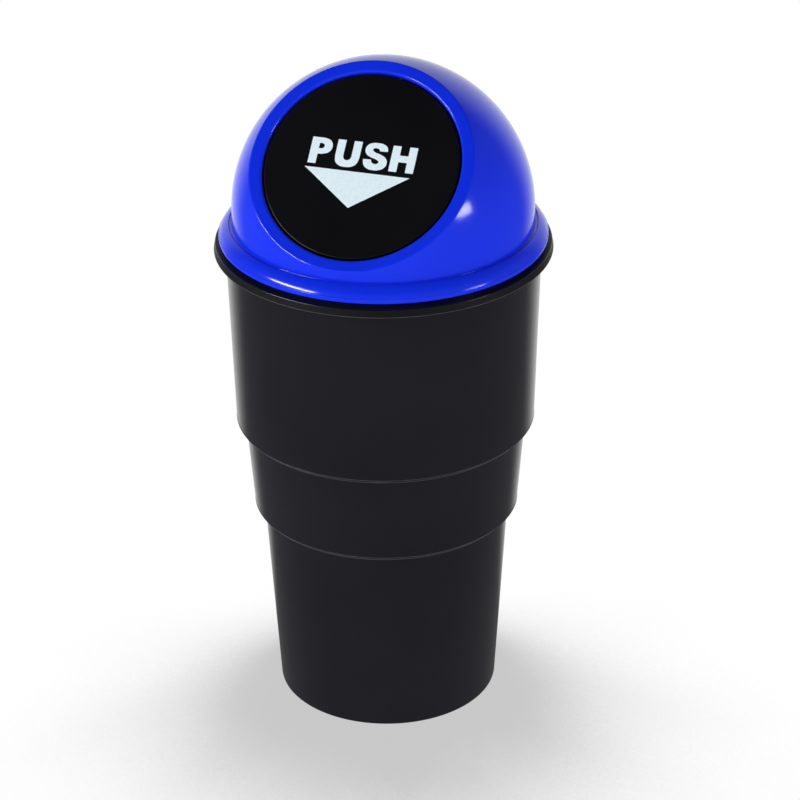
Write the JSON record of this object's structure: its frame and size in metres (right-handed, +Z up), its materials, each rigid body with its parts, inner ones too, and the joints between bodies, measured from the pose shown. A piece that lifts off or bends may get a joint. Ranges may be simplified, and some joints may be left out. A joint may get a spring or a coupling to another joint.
{
  "type": "car trash bin",
  "caption": "Small bin for a car's cup holder: a stepped, tapering cup with a lift-off domed lid and a sprung round push flap.",
  "frame": {"origin": "centre of the foot, on the surface that the bin stands on", "axes": "+Z up along the cup's axis, -Y towards the side that the push flap faces, X along the flap's hinge"},
  "size_m": [0.0804, 0.0804, 0.1635],
  "materials": {
    "cup_plastic": "moulded black polypropylene, smooth satin gloss",
    "lid_plastic": "moulded royal blue ABS, high gloss",
    "flap_plastic": "moulded black ABS, satin, printed in white",
    "pin_steel": "drawn steel",
    "spring_steel": "drawn spring wire"
  },
  "bodies": {
    "cup": {"bin_body": "cup_plastic"},
    "lid": {"lid": "lid_plastic", "hinge_pin": "pin_steel", "torsion_spring": "spring_steel"},
    "flap": {"flap": "flap_plastic"}
  },
  "joints": [
    {"name": "lid_lift", "type": "slide", "parent": "cup", "child": "lid", "axis": [0, 0, 1], "range_m": [0, 0.06]},
    {"name": "flap_push", "type": "hinge", "parent": "lid", "child": "flap", "pos_m": [0, 0.00091, 0.15444], "axis": [1, 0, 0], "range_deg": [0, 65], "stiffness_Nm_per_rad": 0.006, "springref_deg": -29.79, "deforming": ["torsion_spring"]}
  ]
}
